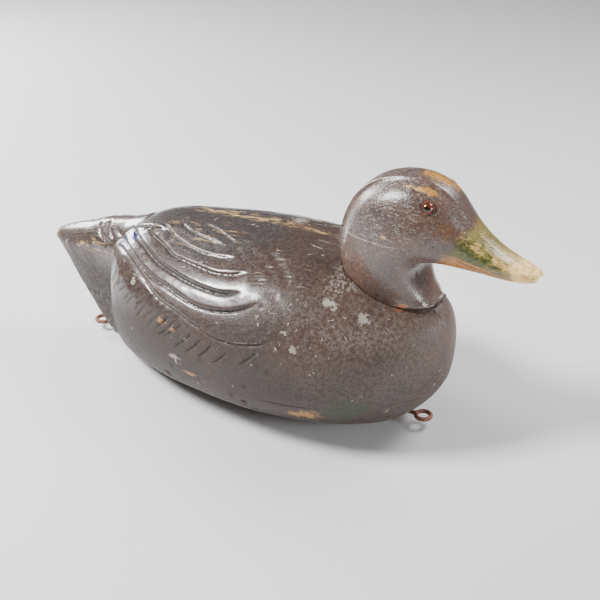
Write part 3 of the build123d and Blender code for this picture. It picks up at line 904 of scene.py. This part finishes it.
def paintedHead():
    c = headPaint
    p = Paint("paintedHead", Specular_IOR_Level=0.7, Coat_Weight=0.20, Coat_Roughness=0.22)
    broad = p.noise(26, 3.0, 0.6)
    blotch = p.noise(95, 5.0, 0.65, 0.4)
    fine = p.noise(480, 4.0, 0.7)
    speck = p.noise(1000, 3.0, 0.75)
    cut = p.attribute("cut")
    worn = p.attribute("worn")
    wrinkles = leather(p, 420, 0.0026)
    hair = p.noise(1.0, 4.0, 0.75, 0.0, p.stretched((260, 700, 900), (0, 0.35, 0)))

    colour = p.mix(broad.rise(0.38, 0.62), c["umber"], c["blueGrey"])
    colour = p.mix(blotch.rise(0.50, 0.72) * 0.45, colour, c["sootAndShade"])
    colour = p.mix((1 - wrinkles) * 0.20, colour, c["sootAndShade"])
    colour = p.mix((speck * fine.rise(0.35, 0.65)).rise(0.30, 0.42) * 0.10, colour, c["pale"])
    colour = p.mix(p.patch(*c["brow"]) * 0.6, colour, c["blueGrey"])
    # painted sheen: a grey-blue cast on the nape, where the light catches it
    colour = p.mix(p.patch(*c["napeSheen"]) * 0.45, colour, c["blueGrey"])
    for middle, size, name, strength in c["spots"]:
        colour = p.mix(p.patch(middle, size, *c["spotShape"]) * strength, colour, c[name])
    whiskers = p.patch(*c["whiskers"])
    colour = p.mix(whiskers * hair.rise(0.53, 0.64) * 0.7, colour, c["pale"])
    grime = p.noise(210, 5.0, 0.75, 1.2)
    colour = p.mix(whiskers * grime.rise(0.53, 0.63) * 0.6, colour, c["sootAndShade"])

    # a long thin scratch across the back of the head, on the right
    fromScratch = (p.z - (p.x - c["scratchFrom"]) * c["scratchSlope"] - c["scratchHeight"]) * 1000
    scratch = (1 - (fromScratch * fromScratch).rise(0.02, 0.22)) * (1 - p.x.rise(0.098, 0.110))
    colour = p.mix(scratch * fine.rise(0.35, 0.5) * (0 - p.y).rise(0.0, 0.004) * 0.8, colour, c["pale"])

    billColour, bill, bare, streaky = billFinish(p, blotch, fine)
    colour = p.mix(bill, colour, billColour)
    # painted shade on the throat under the bill
    colour = p.mix(p.patch(*c["throat"]) * 0.40, colour, c["sootAndShade"])
    colour = p.mix((worn * (0.5 + fine)).rise(0.35, 0.7) * 0.8, colour, c["pale"])
    # painted shade in the cuts, the crack and the torn tip, weaker on the bare wood
    colour = p.mix(cut.rise(0.10, 0.8) * (1 - bare * 0.5), colour, c["sootAndShade"])

    roughness = 0.22 + broad * 0.08 + (1 - wrinkles) * 0.10 + cut * 0.25 + bare * 0.30
    bumps = [
        (blotch, 0.30, 0.0009),
        (wrinkles, 0.22, 0.0003),
        (fine + hair * 0.6, 0.20, 0.00025),
        (bare * streaky + scratch * -0.3, 0.45, 0.0006),
    ]
    return p.finish(colour, roughness, bumps)


def bareWood():
    p = Paint("bareWood")
    rings = p.noise(1.0, 5.0, 0.6, 0.6, p.stretched((60, 300, 40)))
    fine = p.noise(700, 4.0, 0.7)
    colour = p.mix(rings.rise(0.3, 0.7), (0.52, 0.34, 0.17), (0.30, 0.17, 0.08))
    return p.finish(colour, 0.6 + fine * 0.2, [(rings, 0.5, 0.0004), (fine, 0.3, 0.0002)])


def agedMetal(name, light, dark, rust, rustShare, scale):
    p = Paint(name)
    broad = p.noise(scale * 0.35, 4.0, 0.6, 0.4)
    fine = p.noise(scale * 2.2, 5.0, 0.7)
    pits = p.noise(scale * 5, 3.0, 0.75)
    rusty = (broad + (fine - 0.5) * 0.5).rise(0.72 - rustShare * 0.5, 0.86 - rustShare * 0.5)
    colour = p.mix(fine.rise(0.35, 0.65), light, dark)
    colour = p.mix(rusty, colour, p.mix(pits.rise(0.4, 0.62), rust, (0.045, 0.020, 0.012)))
    p.feed(p.shader.inputs["Metallic"], 0.75 - rusty * 0.70)
    return p.finish(colour, 0.42 + fine * 0.25 + rusty * 0.2, [(fine, 0.5, 0.0004), (pits, 0.5, 0.00025)])


eye = {
    "middle": tuple((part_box("eye_glass_left")[0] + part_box("eye_glass_left")[1]) / 2),
    "pupil": 1.55 * mm,
    "rim": 3.3 * mm,
    "flattened": (1, 0.1, 1),  # the rings hardly change through the glass
}


def eyeGlass():
    # seen through the dome: a black pupil, a red-brown ring and a darker rim
    p = Paint("eyeGlass", Coat_Weight=1.0, Coat_Roughness=0.03)
    oneSide = p.node("ShaderNodeVectorMath", {"operation": "ABSOLUTE"}, {0: p.place})
    off = p.vector("SUBTRACT", oneSide, eye["middle"])
    haze = p.noise(700, 3.0, 0.6)
    away = p.length(p.vector("MULTIPLY", off, eye["flattened"])) + (haze - 0.5) * 0.0006
    ring = p.mix(haze.rise(0.4, 0.7), (0.150, 0.026, 0.010), (0.060, 0.012, 0.006))
    colour = p.mix(away.rise(eye["pupil"], eye["pupil"] + 0.3 * mm), (0.004, 0.003, 0.003), ring)
    colour = p.mix(away.rise(eye["rim"] - 0.5 * mm, eye["rim"]) * 0.7, colour, (0.028, 0.010, 0.007))
    return p.finish(colour, 0.12 + haze * 0.1, [(haze, 0.05, 0.0001)])


def eyeAmber():
    p = Paint("eyeAmber", Coat_Weight=0.6)
    fine = p.noise(900, 4.0, 0.7)
    broad = p.noise(260, 3.0, 0.6)
    colour = p.mix(broad.rise(0.35, 0.65), (0.22, 0.040, 0.012), (0.085, 0.016, 0.007))
    return p.finish(colour, 0.30 + fine * 0.2, [(fine, 0.2, 0.0001)])


def eyeBlack():
    p = Paint("eyeBlack", Coat_Weight=0.8)
    fine = p.noise(1200, 3.0, 0.6)
    colour = p.mix(fine, (0.006, 0.005, 0.005), (0.020, 0.013, 0.010))
    return p.finish(colour, 0.15 + fine * 0.1, [(fine, 0.1, 0.0001)])


def eyePutty():
    p = Paint("eyePutty")
    broad = p.noise(320, 4.0, 0.6, 0.5)
    fine = p.noise(1500, 4.0, 0.7)
    colour = p.mix(broad.rise(0.35, 0.62), (0.26, 0.085, 0.045), (0.070, 0.036, 0.026))
    colour = p.mix(fine.rise(0.55, 0.7) * 0.5, colour, (0.40, 0.19, 0.11))
    return p.finish(colour, 0.40 + fine * 0.2, [(broad, 0.5, 0.0004), (fine, 0.5, 0.0002)])


metals = {  # name, light, dark and rust colours, share of rust, scale
    "nail_steel": ("nailSteel", (0.16, 0.14, 0.13), (0.06, 0.05, 0.045), (0.20, 0.07, 0.03), 0.7, 300),
    "screw_steel": ("screwSteel", (0.30, 0.29, 0.28), (0.14, 0.13, 0.12), (0.22, 0.09, 0.04), 0.4, 300),
    "lead": ("lead", (0.22, 0.23, 0.25), (0.11, 0.115, 0.125), (0.33, 0.32, 0.30), 0.35, 120),
    "rusty_wire": ("rustyWire", (0.27, 0.17, 0.14), (0.13, 0.070, 0.055), (0.36, 0.155, 0.10), 0.95, 260),
    "eye_wire": ("eyeWire", (0.30, 0.25, 0.22), (0.14, 0.11, 0.10), (0.20, 0.07, 0.03), 0.6, 400),
}
finishes = {
    "painted_body": paintedBody(),
    "painted_head": paintedHead(),
    "bare_wood": bareWood(),
    "eye_glass": eyeGlass(),
    "eye_amber": eyeAmber(),
    "eye_black": eyeBlack(),
    "eye_putty": eyePutty(),
}
for slot, look in metals.items():
    finishes[slot] = agedMetal(*look)

nodeFinish = {
    "neck_dowel": "bare_wood", "body_nails": "nail_steel",
    "ballast_weight": "lead", "ballast_screws": "screw_steel",
    "line_eye_front": "rusty_wire", "line_eye_rear": "rusty_wire",
}
for side in ("left", "right"):
    for part, slot in (("glass", "eye_glass"), ("iris", "eye_amber"), ("pupil", "eye_black"),
                       ("putty", "eye_putty"), ("wire", "eye_wire")):
        nodeFinish[f"eye_{part}_{side}"] = slot


def giveFinish(piece, slot):
    piece.data.materials.clear()
    piece.data.materials.append(finishes[slot])


for node, slot in nodeFinish.items():
    giveFinish(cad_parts[node], slot)
giveFinish(bodyTop, "painted_body")
giveFinish(bodyBottom, "painted_body")
giveFinish(decoyHead, "painted_head")
print("materials given")


# the floor, the lights and the camera

stage = {
    "floorSize": 6,
    "floorColour": (0.74, 0.74, 0.75),
    "floorRoughness": 0.9,
    "worldColour": (0.86, 0.86, 0.88),
    "worldStrength": 0.17,
    "lights": [  # place, aim, size, watts
        ((-0.56, -0.40, 0.84), (0.0, -0.04, 0.08), 0.28, 24.0),
        ((-0.95, 0.40, 0.42), (0.05, 0.0, 0.12), 0.36, 11.0),
        ((0.45, 0.50, 0.80), (0.0, 0.0, 0.08), 0.40, 8.0),
        ((1.05, -0.02, 0.28), (0.10, 0.0, 0.09), 0.26, 6.5),
    ],
    "camera": (0.3983, -0.6916, 0.5301),
    "cameraLook": (-0.416, 0.760, -0.5),
    "lens": 75.9,
    "sensor": 36.0,
}


def makeFloor():
    pickNothing()
    bpy.ops.mesh.primitive_plane_add(size=stage["floorSize"], location=(0, 0, cadLow.z))
    floor = bpy.context.object
    floor.name = "floor"
    seatPlace(floor)
    p = Paint("floorPaper")
    paler = tuple(v * 1.02 for v in stage["floorColour"])
    colour = p.mix(p.noise(6, 2.0, 0.5), stage["floorColour"], paler)
    floor.data.materials.append(p.finish(colour, stage["floorRoughness"], []))


def makeLights():
    for place, aim, size, watts in stage["lights"]:
        data = bpy.data.lights.new("softLight", "AREA")
        data.size = size
        data.energy = watts
        lamp = bpy.data.objects.new("softLight", data)
        lamp.location = place
        lamp.rotation_euler = (Vector(aim) - Vector(place)).to_track_quat("-Z", "Y").to_euler()
        bpy.context.scene.collection.objects.link(lamp)
    world = bpy.data.worlds.new("softRoom")
    world.use_nodes = True
    background = world.node_tree.nodes["Background"]
    background.inputs[0].default_value = (*stage["worldColour"], 1)
    background.inputs[1].default_value = stage["worldStrength"]
    bpy.context.scene.world = world


def makeCamera():
    data = bpy.data.cameras.new("camera")
    data.lens = stage["lens"]
    data.sensor_width = stage["sensor"]
    camera = bpy.data.objects.new("camera", data)
    camera.location = stage["camera"]
    camera.rotation_euler = Vector(stage["cameraLook"]).to_track_quat("-Z", "Y").to_euler()
    bpy.context.scene.collection.objects.link(camera)
    bpy.context.scene.camera = camera


makeFloor()
makeLights()
makeCamera()
print("stage made")
